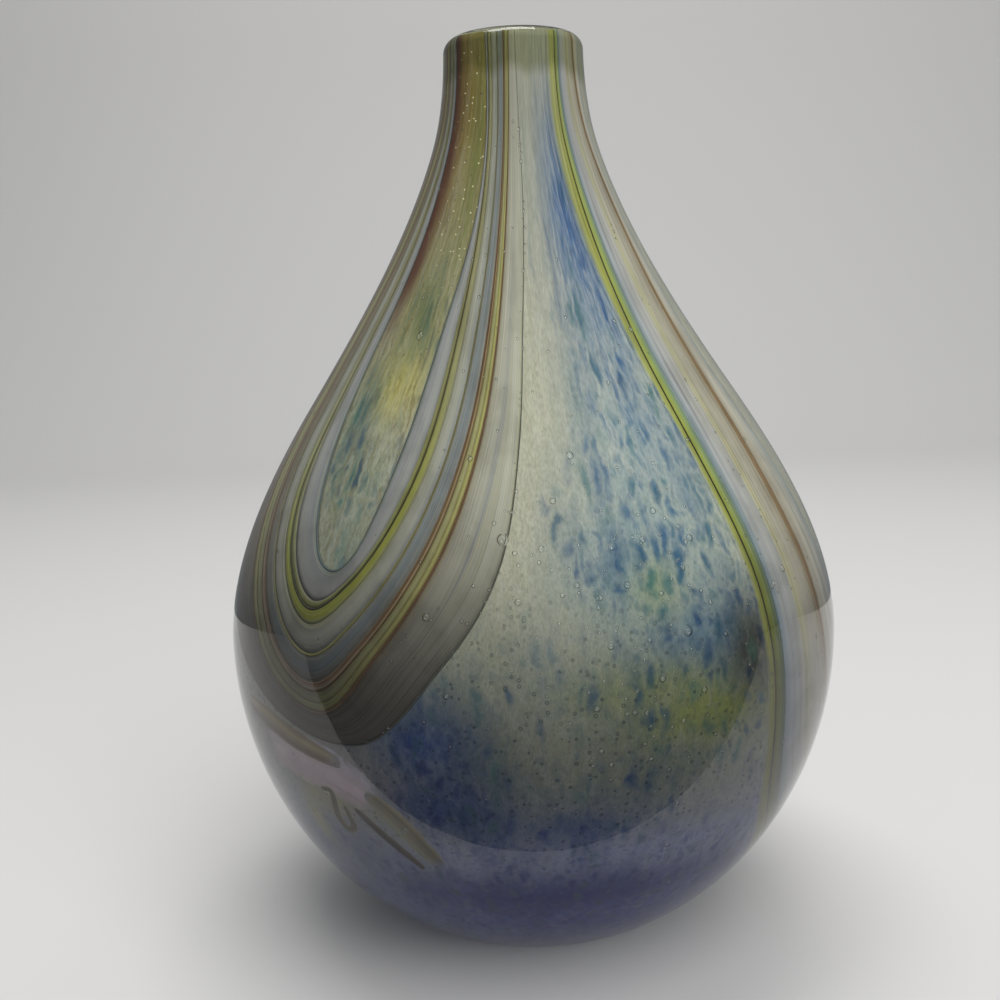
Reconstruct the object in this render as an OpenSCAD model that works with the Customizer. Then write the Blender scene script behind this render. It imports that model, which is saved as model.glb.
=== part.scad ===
// Hand blown art glass vase: a teardrop bottle of cased glass, in millimetres.
// Z is up, the origin is the middle of the foot on the table, and the front faces -Y.
// Every lot of glass is its own solid. The wall is three nested shells, and the canes,
// bands and bits lie in the thin layer between the clear casing and the frit jacket.

/* [Outer shape] */
// Height of the lip above the table
height = 260; // [245:1:275]
// Radius of the belly
belly_r = 90; // [84:0.5:96]
// Height of the belly above the table
belly_z = 88; // [82:1:94]
// Radius of the ground foot
foot_r = 37; // [32:0.5:42]
// Radius at mid shoulder
shoulder_r = 62; // [58:0.5:66]
// Radius at the throat, where the shoulder turns into the neck
throat_r = 24.3; // [23:0.1:27]
// Radius of the neck just under the lip
neck_r = 20; // [19:0.1:22]

/* [Glass layers] */
// Thickness of the clear casing at the side
casing_t = 2.5; // [2:0.1:3]
// Depth of the layer that holds the canes, bands and bits
cane_layer_t = 0.8; // [0.7:0.05:1]
// Thickness of the canes and bands themselves
cane_t = 0.3; // [0.2:0.05:0.3]
// Thickness of the frit jacket
frit_t = 0.9; // [0.6:0.1:1.2]
// Thickness of the opal core
opal_t = 1.4; // [1:0.1:1.8]
// Clear glass between the table and the colour, at the middle of the base
base_clear_t = 7; // [5:0.5:9]
// Distance from the top of the lip down to the end of the opal core
core_drop = 11; // [9:0.5:14]
// Distance from the top of the lip down to the end of the frit, canes and bands
colour_drop = 2; // [1.8:0.1:5]

/* [Foot and lip] */
// Radius of the polished pontil dish in the foot
dish_r = 22; // [16:0.5:26]
// Depth of the pontil dish
dish_h = 2.4; // [1:0.1:3.5]
// Height of the bevel round the ground foot
foot_bevel = 0.8; // [0.4:0.1:1.5]
// Rounding of the lip on the outside
lip_round_out = 4.4; // [3.5:0.1:4.8]
// Rounding of the lip on the inside
lip_round_in = 2.2; // [1.5:0.1:2.6]

/* [Hidden] */

// Facets round the wall, and straight steps along the lower and upper parts of an outline
ROUND_FN = 96;
LOW_STEPS = 32;
HIGH_STEPS = 60;
ARC_STEPS = 8;
// Sections along a swirl, along a leaf and along a bit, and strips across a leaf and across a bit
SWIRL_STEPS = 55;
LEAF_STEPS = 24;
BIT_STEPS = 10;
LEAF_ACROSS = 5;
BIT_ACROSS = 4;
// A distance in mm that keeps two corners of an outline from falling on one another
HAIR = 0.01;

// Depths under the outer skin of the layer boundaries
jacket_d = casing_t + cane_layer_t;
core_d = jacket_d + frit_t;
wall_t = core_d + opal_t;
// The canes and bands lie nearer the casing than the jacket, by this share of the space left over,
// so that the middle of a flat facet still stands clear of the jacket
CANE_PLACE = 0.3;
cane_out_d = casing_t + CANE_PLACE * (cane_layer_t - cane_t);
// The bits lie at two levels of the cane layer, some over the others, as shares of its depth
bit_t = 0.3 * cane_layer_t;
upper_bit_d = casing_t + 0.15 * cane_layer_t;
lower_bit_d = casing_t + 0.55 * cane_layer_t;
// How much faster than the wall the layers thicken at the middle of the base
BASE_GAIN = 1.5;
core_top = height - core_drop;
colour_top = height - colour_drop;

// The upper outline runs through these: height, radius, and slope in mm of radius per mm of height.
// Two of them lie part of the way from the belly to the lip.
SHOULDER_SLOPE = -0.66;
THROAT_SLOPE = -0.33;
SHOULDER_PART = 0.407;
THROAT_PART = 0.814;
KNOTS = [
    [belly_z, belly_r, 0],
    [belly_z + SHOULDER_PART * (height - belly_z), shoulder_r, SHOULDER_SLOPE],
    [belly_z + THROAT_PART * (height - belly_z), throat_r, THROAT_SLOPE],
    [height, neck_r, 0]
];
// The lower body is half an ellipse that would reach below the table if its foot weren't ground off
outer_b = belly_z / sqrt(1 - pow(foot_r / belly_r, 2));

// The swirls: nested loops that hang from the neck, from the innermost to the outermost. Each runs
// down its right limb and up its left one. A point is [degrees round from the front, height on a
// vase whose colour ends at DRAWN_TOP], and the points with the same place in each list lie across
// the swirl from one another.
DRAWN_TOP = 258;
LEFT_LOOPS = [
    // round the leaf
    [[-25, 258], [-21, 218], [-26, 178], [-28, 152], [-31, 133], [-34, 123],
     [-38, 119.5], [-43, 124], [-48, 140], [-52, 168], [-52, 207], [-59, 258]],
    // the dark thread
    [[-23, 258], [-19, 218], [-20, 178], [-22, 150], [-27, 130], [-34, 116],
     [-42, 109.5], [-50, 119], [-56, 138], [-58, 168], [-58, 207], [-63, 258]],
    // the red cane
    [[-8, 258], [-8, 218], [-10, 178], [-13, 150], [-19, 125], [-29, 103],
     [-40, 90.5], [-53, 102], [-66, 134], [-70, 168], [-68, 207], [-69, 258]],
    // the brown thread
    [[-4, 258], [-5, 218], [-7, 178], [-10, 150], [-16, 124], [-26, 101],
     [-38, 84], [-55, 95], [-71, 130], [-76, 168], [-74, 207], [-74, 258]],
    // the edge
    [[2, 258], [4, 218], [1, 178], [-1, 150], [-5, 122], [-14, 100],
     [-30, 77.5], [-54, 83], [-78, 110], [-87, 160], [-85, 207], [-84, 258]]
];
RIGHT_LOOPS = [
    // round the leaf
    [[98, 258], [100, 203], [102, 150], [100, 118], [95, 94], [87, 84],
     [79, 94], [73, 118], [70, 148], [70, 180], [74, 215], [73, 258]],
    // the amber cane
    [[108, 258], [109, 203], [111, 150], [109, 108], [102, 74], [84, 54],
     [66, 78], [61, 118], [60, 148], [62, 180], [67, 215], [63, 258]],
    // the black thread
    [[119, 258], [121, 203], [124, 148], [121, 96], [110, 52], [80, 25],
     [49, 54], [43, 118], [40, 148], [38, 180], [38, 215], [39, 258]],
    // the edge
    [[124, 258], [124, 203], [127, 148], [124, 94], [113, 47], [80, 19],
     [47, 49], [41, 118], [38, 148], [34, 180], [29, 215], [30, 258]]
];
BACK_LOOPS = [
    // round the leaf
    [[-158, 258], [-160, 215], [-156, 180], [-153, 154], [-153, 130], [-156, 114],
     [-164, 106], [-172, 114], [-177, 132], [-179, 160], [-178, 207], [-176, 258]],
    // the black thread
    [[-140, 258], [-142, 215], [-138, 180], [-136, 148], [-136, 116], [-142, 86],
     [-162, 66], [-182, 80], [-193, 110], [-198, 150], [-195, 207], [-189, 258]],
    // the edge
    [[-136, 258], [-138, 215], [-134, 180], [-132, 148], [-132, 114], [-138, 82],
     [-162, 60], [-186, 75], [-197, 107], [-202, 150], [-199, 207], [-193, 258]]
];

// Cubic between two knots, each [place, value, slope], and its slope
function cubic(z, a, b) =
    let (h = b[0] - a[0], u = (z - a[0]) / h)
    (2 * u ^ 3 - 3 * u ^ 2 + 1) * a[1] + (u ^ 3 - 2 * u ^ 2 + u) * h * a[2]
    + (3 * u ^ 2 - 2 * u ^ 3) * b[1] + (u ^ 3 - u ^ 2) * h * b[2];
function cubic_slope(z, a, b) =
    let (h = b[0] - a[0], u = (z - a[0]) / h)
    6 * (u ^ 2 - u) * (a[1] - b[1]) / h + (3 * u ^ 2 - 4 * u + 1) * a[2] + (3 * u ^ 2 - 2 * u) * b[2];

// Which pair of knots a height lies between
function span(z) = z < KNOTS[1][0] ? 0 : z < KNOTS[2][0] ? 1 : 2;
function upper_r(z) = cubic(z, KNOTS[span(z)], KNOTS[span(z) + 1]);
function upper_slope(z) = cubic_slope(z, KNOTS[span(z)], KNOTS[span(z) + 1]);

// Half height of the lower ellipse of the surface at depth d, and that surface's radius at height z
function layer_b(d) = belly_z - base_clear_t - BASE_GAIN * (d - casing_t);
function layer_r(z, d) =
    z < belly_z
    ? (belly_r - d) * sqrt(max(0, 1 - pow((belly_z - z) / layer_b(d), 2)))
    : upper_r(z) - d * sqrt(1 + pow(upper_slope(z), 2));

function reversed(list) = [for (i = [len(list) - 1 : -1 : 0]) list[i]];
function mix(a, b, u) = a + (b - a) * u;

// Quarter ellipse from the angle start, below the horizontal, almost up to the belly
function lower_outline(a, b, start) =
    [for (i = [0 : LOW_STEPS - 1])
        let (t = start * (1 - i / LOW_STEPS)) [a * cos(t), belly_z - b * sin(t)]];
// Above the belly every layer has its corners at the same heights, so that two layers meet face to face
side_step = (height - belly_z) / HIGH_STEPS;
function side_corner(i, d) = let (z = belly_z + side_step * i) [layer_r(z, d), z];
function side_point(z, d) =
    let (i = min(floor((z - belly_z) / side_step), HIGH_STEPS - 1), u = (z - belly_z) / side_step - i)
    mix(side_corner(i, d), side_corner(i + 1, d), u);
// Outline above the belly of the surface at depth d, between two heights
function side_outline(d, bottom, top) =
    concat(
        [side_point(bottom, d)],
        [for (i = [0 : HIGH_STEPS])
            let (p = side_corner(i, d)) if (p[1] > bottom + HAIR && p[1] < top - HAIR) p],
        [side_point(top, d)]
    );
function layer_outline(d, top) =
    concat(lower_outline(belly_r - d, layer_b(d), 90), side_outline(d, belly_z, top));
function arc(x, z, r, from, to) =
    [for (i = [0 : ARC_STEPS]) let (t = mix(from, to, i / ARC_STEPS)) [x + r * cos(t), z + r * sin(t)]];

// Outline of the casing, from the middle of the dish outwards, up, over the lip and down inside
function casing_outline() =
    let (
        dish_sphere = (dish_r * dish_r + dish_h * dish_h) / (2 * dish_h),
        lip_x = upper_r(height - lip_round_out) - lip_round_out
    )
    concat(
        [for (i = [0 : ARC_STEPS]) let (x = dish_r * i / ARC_STEPS)
            [x, sqrt(dish_sphere * dish_sphere - x * x) - dish_sphere + dish_h]],
        [[foot_r - foot_bevel, 0]],
        lower_outline(belly_r, outer_b, asin((belly_z - foot_bevel) / outer_b)),
        side_outline(0, belly_z, height - lip_round_out - HAIR),
        arc(lip_x, height - lip_round_out, lip_round_out, 0, 90),
        arc(lip_x, height - lip_round_in, lip_round_in, 100, 180),
        [side_point(core_top, wall_t)],
        side_outline(core_d, core_top, colour_top),
        reversed(layer_outline(casing_t, colour_top))
    );

// Shell of revolution between two depths under the outer skin, from the base up to the height top
module shell(d_out, d_in, top) {
    rotate_extrude($fn = ROUND_FN)
        polygon(concat(layer_outline(d_out, top), reversed(layer_outline(d_in, top))));
}

// Smooth curve through a list of points, s going from 0 to 1 along the list
function curve(pts, s) =
    let (
        last = len(pts) - 1,
        i = min(floor(s * last), last - 1),
        u = s * last - i,
        b = pts[i],
        c = pts[i + 1],
        a = i > 0 ? pts[i - 1] : 2 * b - c,
        d = i < last - 1 ? pts[i + 2] : 2 * c - b
    )
    0.5 * (2 * b + u * (c - a) + u ^ 2 * (2 * a - 5 * b + 4 * c - d) + u ^ 3 * (3 * b - a - 3 * c + d));

// Point of a swirl, k loops out from its leaf and s of the way along them
function swirl_point(loops, k, s) =
    let (i = min(floor(k), len(loops) - 2))
    mix(curve(loops[i], s), curve(loops[i + 1], s), k - i);
// Point of a leaf, s of the way down it and t of the way across from its left edge
function leaf_point(loop, s, t) =
    let (
        lowest = min([for (p = loop) p[1]]),
        tip = [for (i = [0 : len(loop) - 1]) if (loop[i][1] == lowest) i][0] / (len(loop) - 1)
    )
    mix(curve(loop, 1 - s * (1 - tip)), curve(loop, s * tip), t);

// A pattern point, [degrees, height], as a place at depth d in the wall
function in_wall(p, d) =
    let (z = p[1] * colour_top / DRAWN_TOP, r = layer_r(z, d))
    [r * sin(p[0]), -r * cos(p[0]), z];

// Point t of the way across a bit, which is w wide at its middle and tapers to END_PART of that
END_PART = 0.25;
TAPER_POWER = 0.35;
function bit_point(path, w, s, t) =
    let (
        p = curve(path, s),
        ahead = curve(path, min(1, s + HAIR)) - curve(path, max(0, s - HAIR)),
        r = layer_r(p[1], jacket_d),
        lean = sqrt(1 + pow(layer_r(p[1] + 0.5, jacket_d) - layer_r(p[1] - 0.5, jacket_d), 2)),
        per_mm = 180 / (PI * r),
        run = [ahead[0] / per_mm, ahead[1] * lean],
        side = [-run[1], run[0]] / norm(run),
        half = w / 2 * mix(END_PART, 1, pow(sin(180 * s), TAPER_POWER)) * (2 * t - 1)
    )
    p + [side[0] * half * per_mm, side[1] * half / lean];

// Closed slab of glass in the cane layer, over a grid of pattern points: grid[along][across].
// Its outer face is at depth d and it is t thick.
module slab(grid, d, t) {
    rows = len(grid);
    cols = len(grid[0]);
    count = rows * cols;
    outer = [for (row = grid) for (p = row) in_wall(p, d)];
    inner = [for (row = grid) for (p = row) in_wall(p, d + t)];
    skin = [for (i = [0 : rows - 2]) for (j = [0 : cols - 2])
        let (a = i * cols + j) [a, a + 1, a + cols + 1, a + cols]];
    long_edges = [for (i = [0 : rows - 2]) let (a = i * cols) [a, a + cols]];
    short_edges = [for (j = [0 : cols - 2]) [j, j + 1]];
    quads = concat(
        skin,
        [for (q = skin) [q[3], q[2], q[1], q[0]] + [count, count, count, count]],
        [for (e = long_edges) [e[0], e[1], e[1] + count, e[0] + count]],
        [for (e = long_edges) [e[0], e[0] + count, e[1] + count, e[1]] + (cols - 1) * [1, 1, 1, 1]],
        [for (e = short_edges) [e[1], e[0], e[0] + count, e[1] + count]],
        [for (e = short_edges) [e[0], e[1], e[1] + count, e[0] + count] + (count - cols) * [1, 1, 1, 1]]
    );
    faces = [for (q = quads) each [[q[0], q[1], q[2]], [q[0], q[2], q[3]]]];
    polyhedron(concat(outer, inner), faces);
}

// Cane, thread or band of a swirl, from k0 to k1 loops out from its leaf, in so many flats across
module swirl_strip(loops, k0, k1, across = 1) {
    grid = [for (i = [0 : SWIRL_STEPS])
        [for (j = [0 : across]) swirl_point(loops, mix(k0, k1, j / across), i / SWIRL_STEPS)]];
    slab(grid, cane_out_d, cane_t);
}

// Leaf inside the innermost loop of a swirl, a hair smaller than the loop and blunt at its tip
LEAF_LENGTH = 0.985;
LEAF_INSET = 0.03;
module leaf(loop) {
    grid = [for (i = [0 : LEAF_STEPS])
        let (s = LEAF_LENGTH * i / LEAF_STEPS)
        [for (j = [0 : LEAF_ACROSS]) leaf_point(loop, s, mix(LEAF_INSET, 1 - LEAF_INSET, j / LEAF_ACROSS))]];
    slab(grid, cane_out_d, cane_t);
}

// Tapered bit along a path of pattern points, w wide, at the depth d
module bit(path, w, d) {
    grid = [for (i = [0 : BIT_STEPS])
        [for (j = [0 : BIT_ACROSS]) bit_point(path, w, i / BIT_STEPS, j / BIT_ACROSS)]];
    slab(grid, d, bit_t);
}

module clear_casing() {
    color([0.85, 0.9, 0.88, 0.35])
        rotate_extrude($fn = ROUND_FN)
            polygon(casing_outline());
}

module frit_jacket() {
    color([0.45, 0.55, 0.6]) shell(jacket_d, core_d, colour_top);
}

module opal_core() {
    color([0.78, 0.76, 0.64]) shell(core_d, wall_t, core_top);
}

module frit_leaf() {
    color([0.5, 0.53, 0.3]) leaf(LEFT_LOOPS[0]);
}

module leaf_rim() {
    color([0.25, 0.3, 0.35]) swirl_strip(LEFT_LOOPS, 0, 0.06);
}

module lilac_band() {
    color([0.6, 0.59, 0.6]) swirl_strip(LEFT_LOOPS, 0.06, 0.8, 2);
}

module lime_cane_inner() {
    color([0.6, 0.63, 0.2]) swirl_strip(LEFT_LOOPS, 0.8, 0.96);
}

module dark_thread() {
    color([0.12, 0.13, 0.08]) swirl_strip(LEFT_LOOPS, 0.96, 1.02);
}

module lime_cane_outer() {
    color([0.6, 0.63, 0.2]) swirl_strip(LEFT_LOOPS, 1.02, 1.2);
}

module pearl_band() {
    color([0.62, 0.62, 0.6]) swirl_strip(LEFT_LOOPS, 1.2, 1.57, 2);
}

module olive_thread() {
    color([0.4, 0.4, 0.18]) swirl_strip(LEFT_LOOPS, 1.57, 1.61);
}

module slate_band() {
    color([0.5, 0.54, 0.58]) swirl_strip(LEFT_LOOPS, 1.61, 1.94, 2);
}

module red_cane() {
    color([0.42, 0.24, 0.14]) swirl_strip(LEFT_LOOPS, 1.94, 2.2);
}

module straw_band() {
    color([0.62, 0.6, 0.48]) swirl_strip(LEFT_LOOPS, 2.2, 2.62, 2);
}

module tan_cane() {
    color([0.55, 0.5, 0.32]) swirl_strip(LEFT_LOOPS, 2.62, 2.93, 2);
}

module brown_thread() {
    color([0.28, 0.18, 0.1]) swirl_strip(LEFT_LOOPS, 2.93, 3.03);
}

module smoke_band() {
    color([0.56, 0.56, 0.55]) swirl_strip(LEFT_LOOPS, 3.03, 3.97, 4);
}

module edge_thread() {
    color([0.15, 0.17, 0.18]) swirl_strip(LEFT_LOOPS, 3.97, 4);
}

module right_lime_cane() {
    color([0.6, 0.63, 0.2]) swirl_strip(RIGHT_LOOPS, 2.02, 3, 3);
}

module right_black_thread() {
    color([0.08, 0.09, 0.06]) swirl_strip(RIGHT_LOOPS, 1.98, 2.02);
}

module right_green_cane() {
    color([0.5, 0.56, 0.25]) swirl_strip(RIGHT_LOOPS, 1.84, 1.98, 2);
}

module right_grey_band() {
    color([0.58, 0.58, 0.53]) swirl_strip(RIGHT_LOOPS, 1.07, 1.84, 5);
}

module amber_cane() {
    color([0.45, 0.3, 0.14]) swirl_strip(RIGHT_LOOPS, 0.93, 1.07, 2);
}

module right_pale_band() {
    color([0.66, 0.65, 0.6]) swirl_strip(RIGHT_LOOPS, 0, 0.93, 4);
}

module right_leaf() {
    color([0.4, 0.5, 0.5]) leaf(RIGHT_LOOPS[0]);
}

module back_green_cane() {
    color([0.5, 0.56, 0.25]) swirl_strip(BACK_LOOPS, 1.03, 2, 2);
}

module back_black_thread() {
    color([0.08, 0.09, 0.06]) swirl_strip(BACK_LOOPS, 0.99, 1.03);
}

module back_grey_band() {
    color([0.58, 0.58, 0.56]) swirl_strip(BACK_LOOPS, 0, 0.99, 5);
}

module back_leaf() {
    color([0.5, 0.53, 0.35]) leaf(BACK_LOOPS[0]);
}

module pink_patch() {
    color([0.6, 0.5, 0.54]) bit([[-57, 69.5], [-46, 69.5], [-37, 67], [-29, 61.5]], 16, lower_bit_d);
}

module brown_stick() {
    color([0.25, 0.16, 0.08]) bit([[-34.6, 58.5], [-23.6, 42.5]], 2.8, upper_bit_d);
}

module olive_hook() {
    path = [[-42, 62], [-39.4, 61.5], [-40, 54], [-38.4, 50.8], [-36.6, 53], [-37.2, 58.5]];
    color([0.36, 0.34, 0.14]) bit(path, 2.2, upper_bit_d);
}

module ochre_smear() {
    color([0.5, 0.42, 0.22]) bit([[-64, 79], [-55, 77], [-46, 74], [-35, 71]], 7, upper_bit_d);
}

module straw_bit() {
    color([0.5, 0.48, 0.22]) bit([[-31, 64], [-25.5, 56.5], [-19, 43.5]], 6, upper_bit_d);
}

clear_casing();
frit_jacket();
opal_core();
frit_leaf();
leaf_rim();
lilac_band();
lime_cane_inner();
dark_thread();
lime_cane_outer();
pearl_band();
olive_thread();
slate_band();
red_cane();
straw_band();
tan_cane();
brown_thread();
smoke_band();
edge_thread();
right_lime_cane();
right_black_thread();
right_green_cane();
right_grey_band();
amber_cane();
right_pale_band();
right_leaf();
back_green_cane();
back_black_thread();
back_grey_band();
back_leaf();
pink_patch();
brown_stick();
olive_hook();
ochre_smear();
straw_bit();
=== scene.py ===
"""Looks of the hand blown art glass vase.

A clear casing with seed bubbles lies over a frit jacket, hooked swirls of canes and bands, and an opal core.
Lengths are in millimetres, apart from those of the camera, the floor and the lights, which are in metres.
"""
import math

import bmesh
import bpy
import numpy as np
from mathutils import Matrix, Vector


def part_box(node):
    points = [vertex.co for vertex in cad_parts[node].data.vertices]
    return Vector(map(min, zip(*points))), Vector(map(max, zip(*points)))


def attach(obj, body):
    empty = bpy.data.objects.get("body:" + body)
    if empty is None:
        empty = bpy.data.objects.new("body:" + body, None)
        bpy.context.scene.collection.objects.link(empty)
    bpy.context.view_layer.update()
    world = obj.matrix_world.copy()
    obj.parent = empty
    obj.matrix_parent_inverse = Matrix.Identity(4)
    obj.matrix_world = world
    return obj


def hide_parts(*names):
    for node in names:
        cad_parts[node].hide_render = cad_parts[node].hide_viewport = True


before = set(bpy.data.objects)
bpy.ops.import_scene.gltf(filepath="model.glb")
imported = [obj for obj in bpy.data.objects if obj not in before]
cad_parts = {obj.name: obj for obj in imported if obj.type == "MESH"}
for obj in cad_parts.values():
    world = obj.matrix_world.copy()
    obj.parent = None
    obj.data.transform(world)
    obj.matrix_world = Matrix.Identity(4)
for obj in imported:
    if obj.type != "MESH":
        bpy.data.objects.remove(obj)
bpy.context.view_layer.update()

scene = bpy.context.scene
MM = 0.001
RANDOM = np.random.default_rng(20)


# -------------------- the frame's sizes

def box_mm(node):
    """Lowest and highest corners of a CAD node, in millimetres."""
    low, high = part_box(node)
    return low / MM, high / MM


def belly_height():
    """Height of the widest ring of the CAD casing, rounding left aside."""
    points = np.array([v.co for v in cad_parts["clear_casing"].data.vertices]) / MM
    radius = np.hypot(points[:, 0], points[:, 1])
    rounding = 0.001
    return float(points[radius > radius.max() - rounding, 2].mean())


HEIGHT = box_mm("clear_casing")[1].z
BELLY_R = box_mm("clear_casing")[1].x
BELLY_Z = belly_height()
JACKET_D = BELLY_R - box_mm("frit_jacket")[1].x     # depths under the outer skin
CORE_D = BELLY_R - box_mm("opal_core")[1].x
COLOUR_TOP = box_mm("frit_jacket")[1].z
CORE_TOP = box_mm("opal_core")[1].z
JACKET_BASE = box_mm("frit_jacket")[0].z
CORE_BASE = box_mm("opal_core")[0].z
WALL = 5.6           # whole thickness of the wall at the side
FOOT_R = 37.0
FOOT_BEVEL = 0.8
SKIN_BASE = 1.3      # height at which the foot's bevel meets the outer skin
DISH_R = 22.0        # the pontil dish under the foot
DISH_H = 2.4
LIP_OUT = 4.4        # rounding of the lip on the outside
LIP_IN = 2.2         # and on the inside
SUNK = 0.3           # how far the clear glass's inner faces lie inside the coloured pieces, so no air shows
CANE_T = 0.3         # thickness of a cane
BAND_CROWN = 0.06    # how much further out the middle of a band is than its edges
EDGE_LIFT = 0.05     # how far a strip's edges stand clear of the jacket
LEAN = 0.5           # most that the neck leans to the side
LEAN_BACK = 0.6      # how much it leans to the back, as a part of that
LEAN_WAVES = 2.2     # half waves of the lean from foot to lip
OVAL = 0.004         # how far from round the belly is, as a part of its radius
PATTERN_R = BELLY_R - JACKET_D      # radius of the cylinder that the pattern is laid round
PATTERN_STEPS = 600
LEAST_R = 12.0       # the pattern isn't drawn in any narrower than this
MOST_SPREAD = 2.2    # nor spread out further than this near the base
ON_AXIS = 1e-6       # a smaller radius counts as none
# Knots of the outline above the belly: height, radius, and slope in mm of radius per mm of height
KNOTS = np.array([
    [BELLY_Z, BELLY_R, 0],
    [BELLY_Z + 0.407 * (HEIGHT - BELLY_Z), 62.0, -0.66],
    [BELLY_Z + 0.814 * (HEIGHT - BELLY_Z), 24.3, -0.33],
    [HEIGHT, 20.0, 0],
])
# Half height of the ellipse that the outer skin follows below the belly
OUTER_B = BELLY_Z / math.sqrt(1 - (FOOT_R / BELLY_R) ** 2)


# -------------------- the camera

def look_from(place, target, roll):
    """Rotation of a camera at place that looks at target, turned by roll about its own line of sight."""
    turn = (Vector(target) - Vector(place)).to_track_quat("-Z", "Y")
    return (turn.to_matrix() @ Matrix.Rotation(roll, 3, "Z")).to_euler()


CAMERA_AWAY = 1.4 * HEIGHT
CAMERA_UP = 0.715 * HEIGHT
AIM_UP = 0.4846 * HEIGHT
AIM_LEFT = 0.0227 * CAMERA_AWAY     # the vase stands a little right of the middle of the picture
CAMERA_ROLL = math.radians(-2.14)
camera_data = bpy.data.cameras.new("camera")
camera_data.sensor_width = 36.0
camera_data.lens = 43.64
camera = bpy.data.objects.new("camera", camera_data)
camera.location = (0, -CAMERA_AWAY * MM, CAMERA_UP * MM)
camera.rotation_euler = look_from(camera.location, (-AIM_LEFT * MM, 0, AIM_UP * MM), CAMERA_ROLL)
scene.collection.objects.link(camera)
scene.camera = camera


# -------------------- the vase's surfaces

def outline_terms(z):
    """Radius and slope of the outer skin above the belly."""
    z = np.asarray(z, float)
    i = np.clip(np.searchsorted(KNOTS[:, 0], z, "right") - 1, 0, len(KNOTS) - 2)
    z0, r0, m0 = (KNOTS[i, column] for column in range(3))
    z1, r1, m1 = (KNOTS[i + 1, column] for column in range(3))
    h = z1 - z0
    u = (z - z0) / h
    radius = ((2 * u**3 - 3 * u**2 + 1) * r0 + (u**3 - 2 * u**2 + u) * h * m0
              + (3 * u**2 - 2 * u**3) * r1 + (u**3 - u**2) * h * m1)
    slope = 6 * (u**2 - u) * (r0 - r1) / h + (3 * u**2 - 4 * u + 1) * m0 + (3 * u**2 - 2 * u) * m1
    return radius, slope


def lower_b(d):
    """Half height of the lower ellipse of the surface at depth d: the layers thicken towards the base."""
    base = JACKET_BASE + (CORE_BASE - JACKET_BASE) * (d - JACKET_D) / (CORE_D - JACKET_D)
    return BELLY_Z - base


def layer_r(z, d):
    """Radius at height z of the surface at depth d under the outer skin."""
    z = np.asarray(z, float)
    d = np.asarray(d, float)
    radius, slope = outline_terms(np.maximum(z, BELLY_Z))
    low = (BELLY_R - d) * np.sqrt(np.maximum(0, 1 - ((BELLY_Z - z) / lower_b(d)) ** 2))
    return np.where(z < BELLY_Z, low, radius - d * np.sqrt(1 + slope**2))


def lower_outline(a, b, start, count):
    """Outline on an ellipse of half sizes a and b, from start degrees below the belly up to it."""
    t = np.radians(start) * (1 - np.linspace(0, 1, count))
    return np.column_stack([a * np.cos(t), BELLY_Z - b * np.sin(t)])


def upper_outline(d, top, count):
    """Outline at depth d from just above the belly to the height top."""
    z = np.linspace(BELLY_Z, top, count)[1:]
    return np.column_stack([layer_r(z, d), z])


def layer_outline(d, top, low_count=70, high_count=110):
    """Outline of the surface at depth d, from the middle of the base up to the height top."""
    low = lower_outline(BELLY_R - d, lower_b(d), 90, low_count)
    low[0, 0] = 0
    return np.vstack([low, upper_outline(d, top, high_count)])


def arc(x, z, r, start, end, count):
    """Arc of radius r about (x, z), from start to end in degrees."""
    t = np.radians(np.linspace(start, end, count))
    return np.column_stack([x + r * np.cos(t), z + r * np.sin(t)])


def casing_outline():
    """Outline of the casing: dish, foot, skin, lip, inside of the lip, and the face under the colour."""
    sphere = (DISH_R**2 + DISH_H**2) / (2 * DISH_H)
    x = np.linspace(0, DISH_R, 10)
    dish = np.column_stack([x, np.sqrt(sphere**2 - x**2) - sphere + DISH_H])
    foot = arc(FOOT_R - FOOT_BEVEL, FOOT_BEVEL, FOOT_BEVEL, -90, -40, 5)
    start = math.degrees(math.asin((BELLY_Z - SKIN_BASE) / OUTER_B))
    lip_x = float(outline_terms(HEIGHT - LIP_OUT)[0]) - LIP_OUT
    rounded_in = arc(lip_x, HEIGHT - LIP_IN, LIP_IN, 100, 180, 8)
    ease = np.linspace(0, 1, 10)[1:]
    z = rounded_in[-1, 1] + (CORE_TOP + SUNK - rounded_in[-1, 1]) * ease
    ease = ease * ease * (3 - 2 * ease)
    bore = np.column_stack([rounded_in[-1, 0] * (1 - ease) + layer_r(CORE_TOP + SUNK, WALL) * ease, z])
    core_end = CORE_TOP - SUNK
    jacket_end = COLOUR_TOP - SUNK
    hook = [(core_end, WALL - SUNK), (core_end, CORE_D - SUNK), (jacket_end, CORE_D - SUNK)]
    hook = [[float(layer_r(z, d)), z] for z, d in hook]
    return np.vstack([
        dish, foot,
        lower_outline(BELLY_R, OUTER_B, start, 90),
        upper_outline(0, HEIGHT - LIP_OUT, 150),
        arc(lip_x, HEIGHT - LIP_OUT, LIP_OUT, 0, 90, 20)[1:],
        rounded_in, bore, hook,
        layer_outline(JACKET_D + SUNK, jacket_end)[::-1],
    ])


def sway(points):
    """The small lean and ovalness that hand work leaves, the same for every piece. Points are in mm."""
    x, y, z = points[:, 0], points[:, 1], points[:, 2]
    lift = np.clip(z / HEIGHT, 0, 1)
    lean = LEAN * np.sin(LEAN_WAVES * math.pi * lift) * lift
    oval = 1 + OVAL * np.sin(math.pi * lift)
    return np.column_stack([x * oval + lean, y / oval + LEAN_BACK * lean, z])


# -------------------- meshes

def add_values(mesh, name, values):
    """Numbers or vectors, one for each vertex, that the materials read."""
    single = np.ndim(values) == 1
    layer = mesh.attributes.new(name, "FLOAT" if single else "FLOAT_VECTOR", "POINT")
    flat = np.ascontiguousarray(values, np.float32).ravel()
    layer.data.foreach_set("value" if single else "vector", flat)


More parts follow.
